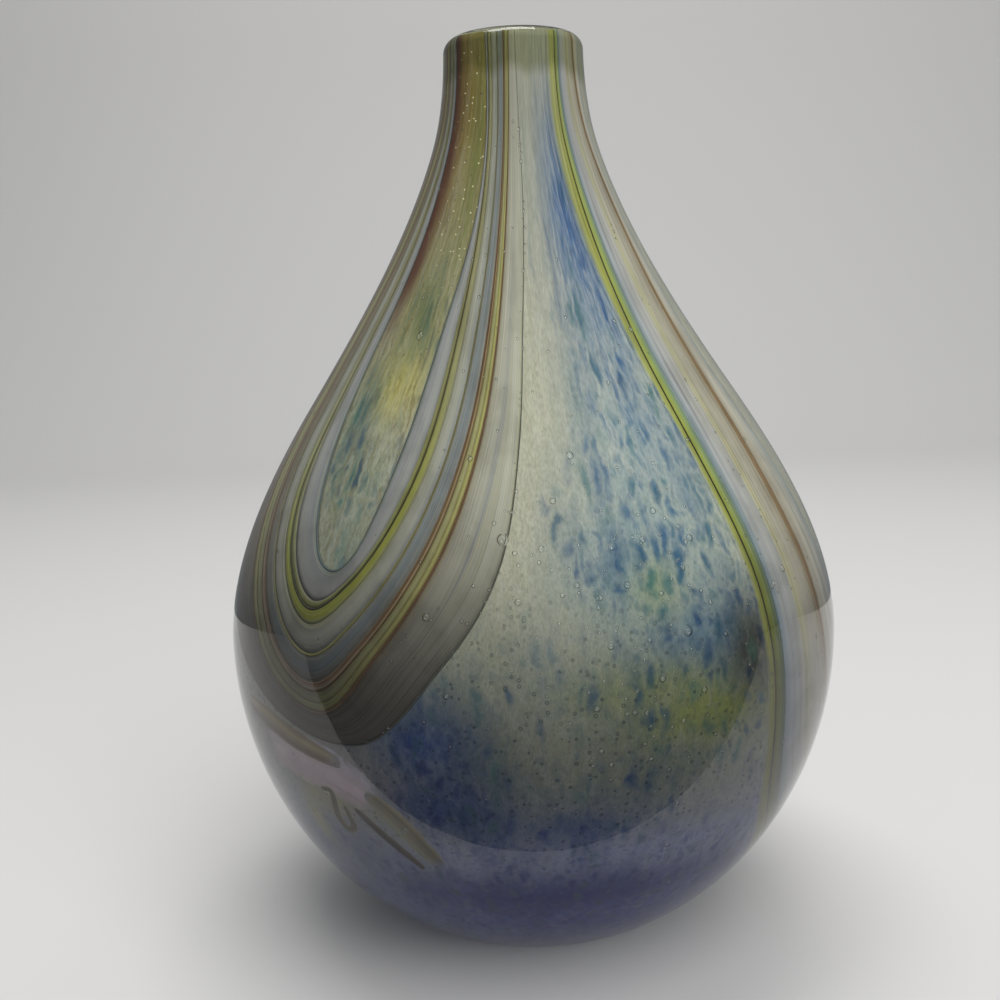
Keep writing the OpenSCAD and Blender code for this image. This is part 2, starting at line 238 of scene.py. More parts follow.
def make_piece(name, points, faces, material, node, values):
    """A mesh piece from points in mm, which rides on the vase and stands for its CAD node."""
    mesh = bpy.data.meshes.new(name)
    mesh.from_pydata((sway(points) * MM).tolist(), [], faces)
    mesh.validate()
    mesh.polygons.foreach_set("use_smooth", [True] * len(mesh.polygons))
    for key, data in values.items():
        add_values(mesh, key, data)
    mesh.materials.append(material)
    piece = bpy.data.objects.new(name, mesh)
    scene.collection.objects.link(piece)
    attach(piece, "root")
    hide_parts(node)


def revolve(outline, around):
    """Points and faces of an outline turned about the axis. Its points on the axis stay single."""
    points = []
    rings = []
    angles = np.linspace(0, 2 * math.pi, around, endpoint=False)
    for r, z in outline:
        if r < ON_AXIS:
            rings.append([len(points)] * around)
            points.append((0, 0, z))
        else:
            rings.append(list(range(len(points), len(points) + around)))
            points.extend(np.column_stack([r * np.sin(angles), -r * np.cos(angles), np.full(around, z)]))
    faces = []
    for a, b in zip(rings, rings[1:]):
        for i in range(around):
            j = (i + 1) % around
            quad = [a[i], a[j], b[j], b[i]]
            face = list(dict.fromkeys(quad))
            if len(face) > 2:
                faces.append(face)
    return np.array(points, float), faces


def pattern_place(points):
    """Where points lie in the pattern, which is round a cylinder and is drawn out up the neck."""
    angle = np.arctan2(points[:, 0], -points[:, 1])
    steps = np.linspace(JACKET_BASE, HEIGHT, PATTERN_STEPS)
    radius = np.maximum(layer_r(steps, JACKET_D), LEAST_R)
    run = np.hypot(np.gradient(radius), np.gradient(steps))
    spread = np.where(steps > BELLY_Z, radius / PATTERN_R, np.minimum(MOST_SPREAD, PATTERN_R / radius))
    heights = np.interp(points[:, 2], steps, np.cumsum(run * spread))
    return np.column_stack([PATTERN_R * np.sin(angle), PATTERN_R * np.cos(angle), heights])


# -------------------- swirls

# Nested loops that hang from the neck, as in the CAD: [degrees from the front, height], innermost first.
# Each runs down its right limb and up its left one. A strip lies between two of them or part of the way.
DRAWN_TOP = 258.0       # where the loops end; it is fitted to the top of the coloured glass
SHORT_OF_TIP = 0.995    # how much of the way to its tip a leaf's rows go, so that the last has some width
BIT_ENDS = 0.25         # width of a bit's ends as a part of its full width
BLUNT = 0.35            # the lower, the blunter a bit's ends
LEFT_LOOPS = [
    [[-25, 258], [-21, 218], [-26, 178], [-28, 152], [-31, 133], [-34, 123],
     [-38, 119.5], [-43, 124], [-48, 140], [-52, 168], [-52, 207], [-59, 258]],
    [[-23, 258], [-19, 218], [-20, 178], [-22, 150], [-27, 130], [-34, 116],
     [-42, 109.5], [-50, 119], [-56, 138], [-58, 168], [-58, 207], [-63, 258]],
    [[-8, 258], [-8, 218], [-10, 178], [-13, 150], [-19, 125], [-29, 103],
     [-40, 90.5], [-53, 102], [-66, 134], [-70, 168], [-68, 207], [-69, 258]],
    [[-4, 258], [-5, 218], [-7, 178], [-10, 150], [-16, 124], [-26, 101],
     [-38, 84], [-55, 95], [-71, 130], [-76, 168], [-74, 207], [-74, 258]],
    [[2, 258], [4, 218], [1, 178], [-1, 150], [-5, 122], [-14, 100],
     [-30, 77.5], [-54, 83], [-78, 110], [-87, 160], [-85, 207], [-84, 258]],
]
RIGHT_LOOPS = [
    [[98, 258], [100, 203], [102, 150], [100, 118], [95, 94], [87, 84],
     [79, 94], [73, 118], [70, 148], [70, 180], [74, 215], [73, 258]],
    [[108, 258], [109, 203], [111, 150], [109, 108], [102, 74], [84, 54],
     [66, 78], [61, 118], [60, 148], [62, 180], [67, 215], [63, 258]],
    [[119, 258], [121, 203], [124, 148], [121, 96], [110, 52], [80, 25],
     [49, 54], [43, 118], [40, 148], [38, 180], [38, 215], [39, 258]],
    [[124, 258], [124, 203], [127, 148], [124, 94], [113, 47], [80, 19],
     [47, 49], [41, 118], [38, 148], [34, 180], [29, 215], [30, 258]],
]
BACK_LOOPS = [
    [[-158, 258], [-160, 215], [-156, 180], [-153, 154], [-153, 130], [-156, 114],
     [-164, 106], [-172, 114], [-177, 132], [-179, 160], [-178, 207], [-176, 258]],
    [[-140, 258], [-142, 215], [-138, 180], [-136, 148], [-136, 116], [-142, 86],
     [-162, 66], [-182, 80], [-193, 110], [-198, 150], [-195, 207], [-189, 258]],
    [[-136, 258], [-138, 215], [-134, 180], [-132, 148], [-132, 114], [-138, 82],
     [-162, 60], [-186, 75], [-197, 107], [-202, 150], [-199, 207], [-193, 258]],
]


def curve(points, s):
    """Smooth curve through the points; s runs from 0 to 1 along the list. Returns one row for each s."""
    before = 2 * np.array(points[0], float) - points[1]
    after = 2 * np.array(points[-1], float) - points[-2]
    pts = np.vstack([before, points, after])
    last = len(points) - 1
    i = np.clip(np.floor(s * last).astype(int), 0, last - 1)
    u = (s * last - i)[:, None]
    a, b, c, d = pts[i], pts[i + 1], pts[i + 2], pts[i + 3]
    return 0.5 * (2 * b + u * (c - a) + u**2 * (2 * a - 5 * b + 4 * c - d) + u**3 * (3 * b - a - 3 * c + d))


def swirl_grid(loops, k0, k1, rows, cols):
    """Pattern points of a strip, k0 to k1 loops out from the leaf: [row along][column across]."""
    s = np.linspace(0, 1, rows)
    columns = []
    for k in np.linspace(k0, k1, cols):
        i = min(int(k), len(loops) - 2)
        columns.append(curve(loops[i], s) * (1 - (k - i)) + curve(loops[i + 1], s) * (k - i))
    return np.stack(columns, 1)


def leaf_grid(loop, rows, cols):
    """Pattern points inside the innermost loop, from the top down to the tip, right edge first."""
    s = np.linspace(0, 1, rows) * SHORT_OF_TIP
    tip = np.argmin(np.array(loop)[:, 1]) / (len(loop) - 1)
    right, left = curve(loop, s * tip), curve(loop, 1 - s * (1 - tip))
    return np.stack([right * (1 - t) + left * t for t in np.linspace(0, 1, cols)], 1)


def bit_grid(path, width, rows, cols):
    """Pattern points of a bit of that width in mm, which tapers towards both ends."""
    s = np.linspace(0, 1, rows)
    middle = curve(path, s)
    ahead = np.gradient(middle, axis=0)
    radius = layer_r(middle[:, 1], JACKET_D)
    lean = np.hypot(1, layer_r(middle[:, 1] + 0.5, JACKET_D) - layer_r(middle[:, 1] - 0.5, JACKET_D))
    per_mm = np.degrees(1 / radius)
    run = np.column_stack([ahead[:, 0] / per_mm, ahead[:, 1] * lean])
    side = np.column_stack([-run[:, 1], run[:, 0]]) / np.linalg.norm(run, axis=1)[:, None]
    half = width / 2 * (BIT_ENDS + (1 - BIT_ENDS) * np.sin(math.pi * s) ** BLUNT)
    step = np.column_stack([side[:, 0] * half * per_mm, side[:, 1] * half / lean])
    return np.stack([middle + step * t for t in np.linspace(-1, 1, cols)], 1)


def in_wall(places, depth):
    """Pattern points [degrees, height] as points in mm, at a depth under the outer skin."""
    z = places[..., 1] * COLOUR_TOP / DRAWN_TOP
    r = layer_r(z, depth)
    angle = np.radians(places[..., 0])
    return np.stack([r * np.sin(angle), -r * np.cos(angle), z], -1)


def slab(grid, crown, lift=EDGE_LIFT):
    """Points and faces of a closed strip over a grid. Its top is crowned, and its foot sunk in the jacket."""
    rows, cols = grid.shape[:2]
    edge = np.abs(2 * np.linspace(0, 1, cols)[None, :].repeat(rows, 0) - 1)
    top = in_wall(grid, JACKET_D - lift - crown * (1 - edge**4))
    foot = in_wall(grid, np.full((rows, cols), JACKET_D + SUNK / 2))
    count = rows * cols
    faces = []
    for i in range(rows - 1):
        for j in range(cols - 1):
            a = i * cols + j
            faces.append((a, a + cols, a + cols + 1, a + 1))
            faces.append((count + a, count + a + 1, count + a + cols + 1, count + a + cols))
        a, b = i * cols, (i + 1) * cols
        faces.append((a, a + count, b + count, b))
        a, b = a + cols - 1, b + cols - 1
        faces.append((b, b + count, a + count, a))
    for j in range(cols - 1):
        faces.append((j + 1, j + 1 + count, j + count, j))
        a = count - cols + j
        faces.append((a, a + count, a + 1 + count, a + 1))
    return np.concatenate([top.reshape(-1, 3), foot.reshape(-1, 3)]), faces


def strip_place(grid):
    """For each point of a slab: part of the way across, mm along, and part of the way along."""
    rows, cols = grid.shape[:2]
    top = in_wall(grid, np.full((rows, cols), JACKET_D))
    run = np.concatenate([[0], np.cumsum(np.linalg.norm(np.diff(top, axis=0), axis=2).mean(1))])
    across = np.linspace(0, 1, cols)[None, :].repeat(rows, 0)
    along = run[:, None].repeat(cols, 1)
    part = np.linspace(0, 1, rows)[:, None].repeat(cols, 1)
    return np.concatenate([np.stack([across, along, part], -1).reshape(-1, 3)] * 2)


def tone(red, green, blue):
    """A colour as seen on a screen, 0 to 255, turned into linear light."""
    c = np.array([red, green, blue]) / 255
    return tuple(np.where(c < 0.04045, c / 12.92, ((c + 0.055) / 1.055) ** 2.4))


# -------------------- the frit's colours

# Soft patches laid over one another: degrees from the front, height, half width in degrees,
# half height, strength, then the colour of the ground, the colour of its spots, and how many spots it has
GROUND = tone(156, 155, 136)
SPOT = tone(116, 128, 132)
SPOTS = 0.25
DOT_HEIGHTS = [40, 62, 92, 125]     # tiny dark grains: heights, and how many there are at each
DOTS = [0.5, 1, 0.9, 0.2]
PATCHES = [
    (0, 18, 400, 34, 1.0, tone(102, 122, 186), tone(6, 26, 140), 0.85),
    (6, 76, 48, 22, 0.95, tone(108, 111, 94), tone(54, 72, 88), 0.8),
    (2, 100, 22, 16, 0.8, tone(128, 131, 113), tone(70, 92, 94), 0.75),
    (4, 140, 9, 66, 0.85, tone(162, 160, 140), tone(142, 148, 142), 0.1),
    (27, 122, 17, 34, 0.98, tone(144, 156, 148), tone(48, 84, 116), 0.85),
    (15, 122, 9, 13, 0.95, tone(112, 134, 138), tone(26, 66, 106), 1.0),
    (29, 103, 8, 10, 0.95, tone(98, 122, 132), tone(22, 58, 104), 1.0),
    (26, 150, 13, 24, 0.9, tone(148, 160, 156), tone(60, 98, 130), 0.95),
    (28, 180, 10, 24, 0.9, tone(140, 152, 150), tone(70, 102, 130), 0.95),
    (26.5, 206, 12, 36, 1.0, tone(62, 96, 136), tone(26, 58, 108), 0.95),
    (22, 115, 5, 7, 0.7, tone(142, 150, 108), tone(84, 120, 100), 0.7),
    (20, 92, 14, 6.5, 0.8, tone(134, 138, 86), tone(66, 92, 88), 0.55),
    (31, 84, 14, 8, 0.95, tone(134, 138, 66), tone(76, 98, 78), 0.35),
    (39, 97, 5.5, 13, 1.0, tone(50, 49, 40), tone(24, 26, 24), 1.0),
    (-19, 79, 9, 11, 0.95, tone(50, 76, 122), tone(18, 42, 98), 0.95),
    (-17, 62, 12, 9, 0.9, tone(52, 74, 120), tone(20, 40, 98), 0.9),
    (6, 55, 16, 7, 0.6, tone(84, 98, 136), tone(26, 40, 118), 0.9),
    (8, 34, 44, 7, 0.95, tone(14, 34, 130), tone(2, 10, 112), 0.9),
    (14, 24, 32, 7, 0.85, tone(40, 62, 160), tone(6, 22, 136), 0.9),
    (-18, 47, 12, 5, 0.9, tone(152, 154, 178), tone(92, 102, 154), 0.55),
    (22, 47, 30, 6, 0.9, tone(144, 152, 178), tone(76, 92, 148), 0.65),
    (-44, 68, 15, 9, 0.9, tone(132, 120, 126), tone(146, 136, 138), 0.25),
    (-50, 54, 12, 7, 0.7, tone(136, 138, 138), tone(108, 112, 126), 0.4),
    (-46, 42, 20, 9, 0.8, tone(100, 112, 142), tone(50, 66, 126), 0.75),
    (-29.5, 59, 3, 4, 0.7, tone(150, 148, 128), tone(140, 140, 126), 0.1),
    (-25.5, 53, 3, 4.5, 0.7, tone(146, 145, 126), tone(136, 138, 126), 0.1),
    (-22.5, 47, 2.6, 4, 0.6, tone(140, 141, 128), tone(130, 134, 128), 0.1),
    (-39, 59, 4, 4, 0.8, tone(164, 156, 100), tone(146, 138, 92), 0.1),
    (-44.5, 61, 2.4, 6, 0.7, tone(160, 156, 96), tone(146, 142, 88), 0.1),
    (-47.5, 51, 2.4, 7, 0.8, tone(156, 154, 88), tone(146, 142, 84), 0.1),
    (150, 120, 26, 50, 0.8, tone(146, 156, 158), tone(48, 80, 120), 0.85),
    (-110, 120, 18, 60, 0.8, tone(162, 160, 140), tone(142, 148, 142), 0.15),
    (-120, 88, 20, 14, 0.8, tone(126, 132, 84), tone(60, 92, 100), 0.6),
]


def paint(points, patches=PATCHES):
    """Ground colour, spot colour, amount of spots and amount of tiny dots of the frit at points in mm."""
    angle = np.degrees(np.arctan2(points[:, 0], -points[:, 1]))
    z = points[:, 2]
    ground = np.tile(GROUND, (len(points), 1))
    spot = np.tile(SPOT, (len(points), 1))
    amount = np.full(len(points), SPOTS)
    for at, up, half_at, half_up, strength, under, over, spots in patches:
        away = (angle - at + 180) % 360 - 180
        weight = strength * np.exp(-((away / half_at) ** 2) - ((z - up) / half_up) ** 2)
        ground += weight[:, None] * (np.array(under) - ground)
        spot += weight[:, None] * (np.array(over) - spot)
        amount += weight * (spots - amount)
    dots = np.interp(z, DOT_HEIGHTS, DOTS)
    return {"ground": ground, "spot": spot, "spots": amount, "dots": dots}


# -------------------- materials

class Look:
    """The shader nodes of one glass, and ways to add them. An input is a number, a colour or a socket."""

    def __init__(self, name):
        self.material = bpy.data.materials.new(name)
        self.material.use_nodes = True
        self.nodes = self.material.node_tree.nodes
        self.shader = self.nodes["Principled BSDF"]

    def put(self, socket, value):
        """Links the value to the socket if it is a socket too, or sets it."""
        if isinstance(value, bpy.types.NodeSocket):
            self.material.node_tree.links.new(value, socket)
        elif socket.type == "RGBA":
            socket.default_value = (*value[:3], 1)
        else:
            socket.default_value = value

    def node(self, kind, inputs, **settings):
        node = self.nodes.new("ShaderNode" + kind)
        for key, value in settings.items():
            setattr(node, key, value)
        for key, value in inputs.items():
            self.put(node.inputs[key], value)
        return node

    def vector(self, name):
        return self.node("Attribute", {}, attribute_name=name).outputs["Vector"]

    def value(self, name):
        return self.node("Attribute", {}, attribute_name=name).outputs["Fac"]

    def split(self, vector):
        return tuple(self.node("SeparateXYZ", {0: vector}).outputs)

    def join(self, x, y, z):
        return self.node("CombineXYZ", {0: x, 1: y, 2: z}).outputs[0]

    def math(self, operation, a, b=0.0):
        return self.node("Math", {0: a, 1: b}, operation=operation).outputs[0]

    def times(self, a, b):
        return self.math("MULTIPLY", a, b)

    def add(self, a, b):
        return self.node("VectorMath", {0: a, 1: b}, operation="ADD").outputs[0]

    def mix(self, factor, a, b, blend="MIX"):
        return self.node("Mix", {0: factor, 6: a, 7: b}, data_type="RGBA", blend_type=blend).outputs[2]

    def step(self, value, low, high, to_low=0.0, to_high=1.0):
        """Smooth rise from to_low to to_high as value goes from low to high."""
        inputs = {0: value, 1: low, 2: high, 3: to_low, 4: to_high}
        return self.node("MapRange", inputs, interpolation_type="SMOOTHSTEP").outputs[0]

    def ramp(self, factor, stops):
        node = self.node("ValToRGB", {0: factor})
        elements = node.color_ramp.elements
        while len(elements) < len(stops):
            elements.new(0.5)
        for element, (place, colour) in zip(elements, stops):
            element.position = place
            element.color = (*colour, 1)
        return node.outputs[0]

    def noise(self, place, scale, detail=2.0, rough=0.5):
        inputs = {"Vector": place, "Scale": scale, "Detail": detail, "Roughness": rough}
        return self.node("TexNoise", inputs).outputs[0]

    def wander(self, place, scale, detail, reach):
        """Noise about 0, which spans reach in all."""
        return self.times(self.math("SUBTRACT", self.noise(place, scale, detail), 0.5), reach)

    def shade(self, factor, colour, by):
        """The colour, multiplied by another one where factor is 1."""
        return self.mix(factor, colour, self.mix(1.0, colour, by, "MULTIPLY"))

    def rims(self, place, scale):
        """Distance to the nearest boundary between the cells."""
        inputs = {"Vector": place, "Scale": scale}
        return self.node("TexVoronoi", inputs, feature="DISTANCE_TO_EDGE").outputs["Distance"]

    def cells(self, place, scale):
        """Distance to the nearest of scattered points, and a random colour for each of them."""
        node = self.node("TexVoronoi", {"Vector": place, "Scale": scale})
        return node.outputs["Distance"], node.outputs["Color"]

    def finish_colour(self, colour):
        """Darker low down, which is painted shade, and above the opal core's end, where light gets through.
        Then to the shader.
        """
        ragged = self.wander(self.vector("pattern"), 0.03, 3.0, 9.0)
        above = self.step(self.math("ADD", self.value("height"), ragged), CORE_TOP - 3.0, CORE_TOP + 2.0)
        colour = self.shade(above, colour, tone(204, 206, 184))
        # painted shade: the colour is multiplied darker from 128 mm down to 74 mm, on the lower turn of the
        # belly
        below = self.step(self.value("height"), 128.0, 74.0)
        colour = self.shade(below, colour, tone(194, 195, 204))
        self.put(self.shader.inputs["Base Color"], colour)
        self.shader.inputs["Specular IOR Level"].default_value = 0.0
        self.shader.inputs["Roughness"].default_value = 0.6
        return self.material


BLOT_SCALE = 0.27       # cells per mm of the frit's blots
MOTTLE_SCALE = 0.5      # of the smaller mottling between them
GRAIN_SCALE = 0.62      # of the tiny dark grains
SEED_GLINT_SCALE = 620.0      # cells per metre of the painted glints on the fine seeds at the neck
GREEN_FRIT = tone(84, 118, 100)
BLUE_FRIT = tone(30, 62, 106)
CURD = tone(170, 168, 158)
GRAIN = tone(40, 52, 62)
# colour of the painted glints on the fine seeds
SEED_GLINT = tone(232, 226, 190)


def frit_colour(look, streak_tone=tone(190, 188, 170), streaks=0.45, seed_glints=0.0):
    """Spots of frit melted into a ground: long where the glass was drawn out, small near the base."""
    place = look.vector("pattern")
    ground = look.vector("ground")
    spot = look.vector("spot")
    amount = look.value("spots")
    x, y, z = look.split(place)
    # the blots: a pale web between soft dark middles
    warp = look.node("TexNoise", {"Vector": place, "Scale": 0.16, "Detail": 2.0}).outputs["Color"]
    warp = look.node("VectorMath", {0: warp, 3: 6.0}, operation="SCALE").outputs[0]
    long_place = look.add(look.join(x, y, look.times(z, 0.5)), warp)
    away, random = look.cells(long_place, BLOT_SCALE)
    red, green, blue = look.split(random)
    melt = look.wander(long_place, 0.9, 3.0, 0.5)
    rim = look.math("ADD", look.rims(long_place, BLOT_SCALE), look.times(melt, 0.5))
    blob = look.step(look.math("ADD", away, melt), 1.0, 0.1)
    blob = look.times(blob, look.step(rim, -0.05, 0.42, 0.15))
    # which of the cells have a blot, and its colour
    patch = look.noise(long_place, 0.07, 2.0)
    chosen = look.math("SUBTRACT", look.times(amount, 1.9), look.times(red, 0.8))
    chosen = look.step(look.math("SUBTRACT", chosen, look.step(patch, 0.62, 0.38, 0.0, 0.6)), -0.05, 0.75)
    lively = look.mix(look.step(green, 0.35, 1.0, 0.0, 0.55), spot, GREEN_FRIT)
    lively = look.mix(look.step(blue, 0.65, 1.0, 0.0, 0.5), lively, BLUE_FRIT)
    # the web: streaks where the glass was drawn out, paler curds and a tint of the spots' colour
    drawn = look.step(look.value("height"), 92.0, 135.0)
    streak = look.noise(look.add(look.join(x, y, look.times(z, 0.09)), warp), 0.5, 4.0, 0.6)
    streak = look.times(look.step(streak, 0.4, 0.7, 0.0, streaks), drawn)
    web = look.mix(streak, ground, look.mix(0.75, ground, streak_tone))
    curd = look.noise(long_place, 0.3, 4.0, 0.6)
    web = look.mix(look.step(curd, 0.45, 0.65, 0.0, 0.4), web, look.mix(0.5, web, CURD))
    web = look.mix(look.times(look.step(patch, 0.42, 0.62, 0.0, 0.5), amount), web, spot)
    colour = look.mix(look.times(blob, chosen), web, lively)
    # smaller mottling over all of it
    away, random = look.cells(look.add(look.join(x, y, look.times(z, 0.7)), warp), MOTTLE_SCALE)
    small = look.times(look.step(away, 0.7, 0.15), look.step(look.split(random)[0], 0.45, 0.9))
    small = look.times(small, look.step(amount, 0.05, 0.9, 0.12, 0.5))
    colour = look.mix(small, colour, spot)
    # tiny dark grains, each a ring
    away, random = look.cells(place, GRAIN_SCALE)
    ring = look.math("ABSOLUTE", look.math("SUBTRACT", away, 0.24))
    grain = look.times(look.step(ring, 0.15, 0.05), look.step(look.split(random)[0], 0.58, 0.85))
    grain = look.times(grain, look.times(look.value("dots"), 0.62))
    colour = look.mix(grain, colour, GRAIN)
    fine = look.noise(look.join(x, y, look.times(z, 0.5)), 2.0, 3.0)
    colour = look.shade(look.step(fine, 0.35, 0.7, 0.0, 0.3), colour, tone(160, 160, 156))
    if seed_glints:
        # painted glints: bright dots in the colour that stand for light glinting on the fine seed bubbles in
        # the drawn-out glass at the neck
        away, random = look.cells(look.node("TexCoord", {}).outputs["Object"], SEED_GLINT_SCALE)
        seed = look.times(look.step(away, 0.17, 0.09), look.step(look.split(random)[0], 0.25, 0.27))
        seed = look.times(seed, look.step(look.value("height"), 178.0, 215.0, 0.0, seed_glints))
        colour = look.mix(seed, colour, SEED_GLINT)
    return colour


def frit_look(name, edge=None, **settings):
    """Frit glass. A leaf may have an edge of another colour down the left of its neck."""
    look = Look(name)
    colour = frit_colour(look, **settings)
    if edge:
        across = look.split(look.vector("strip"))[0]
        wander = look.wander(look.vector("pattern"), 0.12, 3.0, 0.3)
        near = look.step(look.math("ADD", across, wander), 0.36, 0.08, 0.0, 0.92)
        near = look.times(near, look.step(look.value("height"), 165.0, 195.0))
        colour = look.mix(near, colour, edge)
    return look.finish_colour(colour)


# Fine lines drawn along a strip: their place in the noise, how close together, their colour and how strong
DRAWN_LINES = [
    (0.0, 1.0, tone(80, 72, 58), 0.8),
    (7.3, 0.45, tone(104, 114, 128), 0.6),
    (13.1, 1.9, tone(198, 197, 186), 0.55),
    (21.7, 0.7, tone(150, 144, 96), 0.4),
]
# colour that the painted shade low on a strip's turn multiplies by
LOW_SHADE_TONE = tone(130, 124, 124)


def cane_look(name, stops, lines=10.0, contrast=0.9, fade=None, soft_low=0.0, soft_high=0.0,
              low_shade=0.0, left=None):
    """Drawn glass: colours across a strip, with fine lines along it.

    fade is a duller colour that the strip turns to towards both its ends, and left is one that its left limb
    turns to. soft_low and soft_high are how far in from its edges it melts into the frit, and the setting
    after them darkens its turn low down, which is painted shade.
    """
    look = Look(name)
    across, along, part = look.split(look.vector("strip"))
    drift = look.join(look.times(along, 0.012), 0.0, look.times(across, 1.5))
    shifted = look.math("ADD", across, look.wander(drift, 1.0, 2.0, 0.2))
    colour = look.ramp(shifted, stops)
    if fade:
        ends = look.math("ABSOLUTE", look.math("SUBTRACT", part, 0.5))
        colour = look.mix(look.step(ends, 0.12, 0.36), colour, fade)
    if left:
        colour = look.mix(look.step(part, 0.6, 0.76, 0.0, 0.85), colour, left)
    for seed, scale, target, amount in DRAWN_LINES:
        thread = look.join(look.times(shifted, lines * scale), look.times(along, 0.006), seed)
        line = look.step(look.noise(thread, 1.0, 3.0, 0.7), 0.53, 0.68, 0.0, amount * contrast)
        colour = look.mix(line, colour, look.mix(0.6, colour, target))
    if low_shade:
        # painted shade: the strip is darkened from 150 mm down to 84 mm
        colour = look.shade(look.step(look.value("height"), 150.0, 84.0, 0.0, low_shade), colour, LOW_SHADE_TONE)
    place = look.vector("pattern")
    cloud = look.step(look.noise(place, 0.12, 3.0), 0.4, 0.7, 0.0, 0.25)
    colour = look.shade(cloud, colour, tone(150, 146, 140))
    if soft_low or soft_high:
        field = frit_colour(look)
        ragged = look.math("ADD", across, look.wander(place, 0.35, 2.0, 0.4))
        if soft_low:
            colour = look.mix(look.step(ragged, soft_low, 0.0), colour, field)
            ends = look.times(look.times(part, look.math("SUBTRACT", 1.0, part)), 4.0)
            colour = look.mix(look.step(ends, 0.5, 0.0), colour, field)
        if soft_high:
            colour = look.mix(look.step(ragged, 1 - soft_high, 1.0), colour, field)
    return look.finish_colour(colour)


def clear_look():
    """Clear glass. Shadows pass through it, so that the colours inside are lit."""
    look = Look("clear_glass")
    shader = look.shader
    shader.inputs["Base Color"].default_value = (0.97, 0.985, 0.98, 1)
    shader.inputs["Transmission Weight"].default_value = 1.0
    shader.inputs["IOR"].default_value = 1.5
    place = look.vector("pattern")
    look.put(shader.inputs["Roughness"], look.step(look.noise(place, 0.05, 4.0), 0.3, 0.8, 0.0, 0.03))
    bump = look.node("Bump", {"Strength": 0.12, "Distance": 0.0004, "Height": look.noise(place, 0.07, 2.0)})
    look.put(shader.inputs["Normal"], bump.outputs[0])
    through = look.node("BsdfTransparent", {"Color": (0.96, 0.97, 0.96)})
    shadow = look.node("LightPath", {}).outputs["Is Shadow Ray"]
    mixed = look.node("MixShader", {0: shadow, 1: shader.outputs[0], 2: through.outputs[0]})
    look.put(look.nodes["Material Output"].inputs["Surface"], mixed.outputs[0])
    return look.material


def opal_look():
    """Ivory opal glass, glossy, as it is the inside wall."""
    look = Look("opal_glass")
    place = look.vector("pattern")
    cloud = look.noise(place, 0.05, 4.0)
    colour = look.mix(look.step(cloud, 0.35, 0.7), tone(205, 201, 176), tone(186, 180, 152))
    streak = look.noise(look.join(*look.split(place)[:2], 0.0), 0.3, 3.0)
    colour = look.mix(look.step(streak, 0.4, 0.7, 0.0, 0.3), colour, tone(160, 166, 165))
    look.put(look.shader.inputs["Base Color"], colour)
    look.put(look.shader.inputs["Roughness"], look.step(cloud, 0.3, 0.8, 0.06, 0.16))
    return look.material


# -------------------- the three gathers of the wall


def glass_piece(node, points, faces, material, values):
    """The visible piece for a CAD node, with where its points lie in the pattern."""
    points = np.asarray(points, float)
    data = {"pattern": pattern_place(points), "height": points[:, 2], **values}
    make_piece(node + "_glass", points, faces, material, node, data)


def shell(d_out, d_in, top, around):
    """Points and faces of a closed shell between two depths under the outer skin."""
    outline = np.vstack([layer_outline(d_out, top), layer_outline(d_in, top)[::-1]])
    return revolve(outline, around)


# The eight largest bubbles in the photo: degrees from the front, height, radius and depth
LARGE_BUBBLES = [
    (-4.5, 128.7, 1.6, 2.0),
    (-17.3, 111, 1.1, 2.0),
    (-33.3, 177, 1.1, 2.0),
    (25.9, 104.7, 1.3, 2.0),
    (20.7, 126.7, 0.9, 2.2),
    (14.7, 125.7, 0.9, 2.2),
    (16.4, 116.9, 0.9, 2.2),
    (9.6, 89.1, 1.0, 2.2),
]
# Rows of small bubbles along the canes: loops, how many loops out from the leaf, and how many bubbles
BUBBLE_ROWS = [(LEFT_LOOPS, 3.985, 90), (LEFT_LOOPS, 3.4, 24), (LEFT_LOOPS, 1.5, 14), (RIGHT_LOOPS, 1.5, 40)]
ROW_POINTS = 200
FLATTENED = 0.55        # a bubble's depth as a part of its width
CLEAR_OF_SKIN = 0.35    # least glass over a bubble
CLEAR_OF_CANES = 0.15   # least glass under it


def bubbles():
    """Degrees from the front, height, radius and depth of the seed bubbles in the clear glass."""
    found = []
    for _ in range(330):      # scattered through the field, more on the front and right
        angle = RANDOM.normal(20, 17)
        z = min(RANDOM.normal(98, 30), 215 + RANDOM.uniform(-60, 0))
        found.append((angle, z, min(1.0, 0.24 + RANDOM.exponential(0.18)), RANDOM.uniform(1.6, 2.7)))
    for _ in range(240):      # all round
        angle = RANDOM.uniform(0, 360)
        z = RANDOM.uniform(20, 200)
        found.append((angle, z, min(0.7, 0.18 + RANDOM.exponential(0.12)), RANDOM.uniform(1.2, 2.7)))
    for loops, k, count in BUBBLE_ROWS:
        row = swirl_grid(loops, k, k, ROW_POINTS, 1)[:, 0]
        for s in RANDOM.uniform(0.03, 0.97, count):
            angle, z = row[int(s * (ROW_POINTS - 1))]
            angle += RANDOM.normal(0, 0.4)
            found.append((angle, z, RANDOM.uniform(0.16, 0.42), RANDOM.uniform(2.0, 2.75)))
    for _ in range(70):       # fine seeds in the drawn-out gold glass at the neck
        angle = RANDOM.uniform(-52, -26)
        z = RANDOM.uniform(170, 252)
        found.append((angle, z, RANDOM.uniform(0.12, 0.3), RANDOM.uniform(1.6, 2.6)))
    return found + LARGE_BUBBLES


def ball():
    """Points of a ball of radius 1, and its faces turned inwards."""
    shape = bmesh.new()
    bmesh.ops.create_icosphere(shape, subdivisions=2, radius=1)
    points = np.array([v.co for v in shape.verts])
    faces = [[v.index for v in reversed(f.verts)] for f in shape.faces]
    shape.free()
    return points, faces


